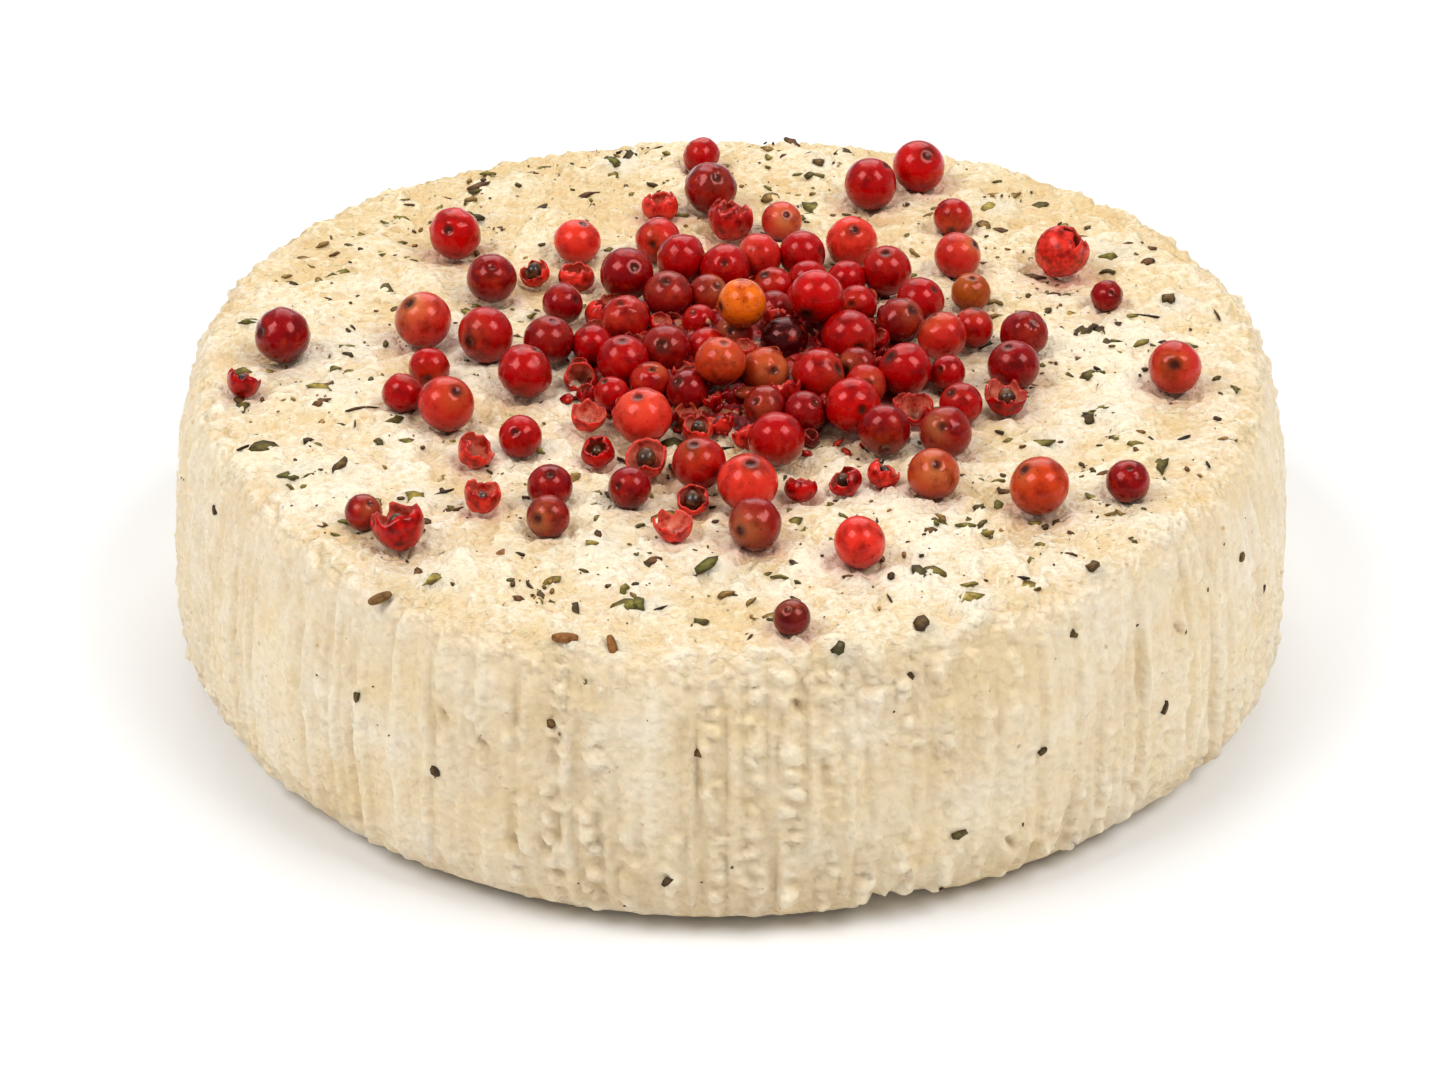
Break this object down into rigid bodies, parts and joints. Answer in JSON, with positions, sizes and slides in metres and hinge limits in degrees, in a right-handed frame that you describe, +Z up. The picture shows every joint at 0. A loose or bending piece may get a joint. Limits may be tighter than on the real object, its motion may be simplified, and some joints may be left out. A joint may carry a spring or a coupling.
{
  "type": "small round fresh tomme with peppercorns",
  "caption": "Small round fresh white cheese with herbs in the curd, ridged by its basket mould, under a loose heap of pink peppercorns.",
  "frame": {"origin": "middle of the flat base, where the wheel stands", "axes": "+Z up through the wheel, +Y away from the side that faces the viewer, +X to the viewer's right"},
  "size_m": [0.1056, 0.1049, 0.037],
  "materials": {
    "fresh_curd": "moist fresh curd, cream, satin",
    "pink_peppercorn": "thin glossy papery skin, crimson"
  },
  "bodies": {
    "root": {"cheese_wheel": "fresh_curd", "peppercorn_heap": "pink_peppercorn"}
  },
  "joints": []
}
